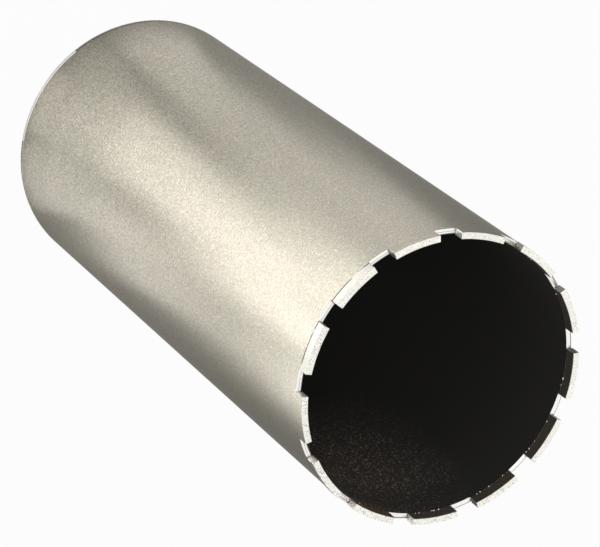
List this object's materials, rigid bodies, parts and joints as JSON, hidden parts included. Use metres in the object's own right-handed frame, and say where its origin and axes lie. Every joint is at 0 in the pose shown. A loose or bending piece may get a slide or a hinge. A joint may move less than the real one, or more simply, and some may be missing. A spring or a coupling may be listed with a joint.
{
  "type": "diamond core bit",
  "caption": "Long thin-walled core bit: a painted steel barrel with a crown of diamond segments and water slots, closed by a back plate with a threaded hub.",
  "frame": {"origin": "on the axis, at the hub's annular seat face, which the bit stands on", "axes": "+Z along the axis from the hub to the crown of segments; +X through the middle of a water slot"},
  "size_m": [0.1518, 0.152, 0.4047],
  "materials": {
    "barrel_paint": "fine metallic champagne paint, satin, with a bare bevelled mouth and a black bore",
    "machined_steel": "turned steel with fine tool rings",
    "weld_metal": "rippled weld bead",
    "segment_metal": "sintered light grey metal with dark grit"
  },
  "bodies": {
    "root": {"barrel": "barrel_paint", "back_plate": "machined_steel", "threaded_hub": "machined_steel", "hub_weld": "weld_metal", "segment_01": "segment_metal", "segment_02": "segment_metal", "segment_03": "segment_metal", "segment_04": "segment_metal", "segment_05": "segment_metal", "segment_06": "segment_metal", "segment_07": "segment_metal", "segment_08": "segment_metal", "segment_09": "segment_metal", "segment_10": "segment_metal", "segment_11": "segment_metal", "segment_12": "segment_metal", "segment_13": "segment_metal"}
  },
  "joints": []
}
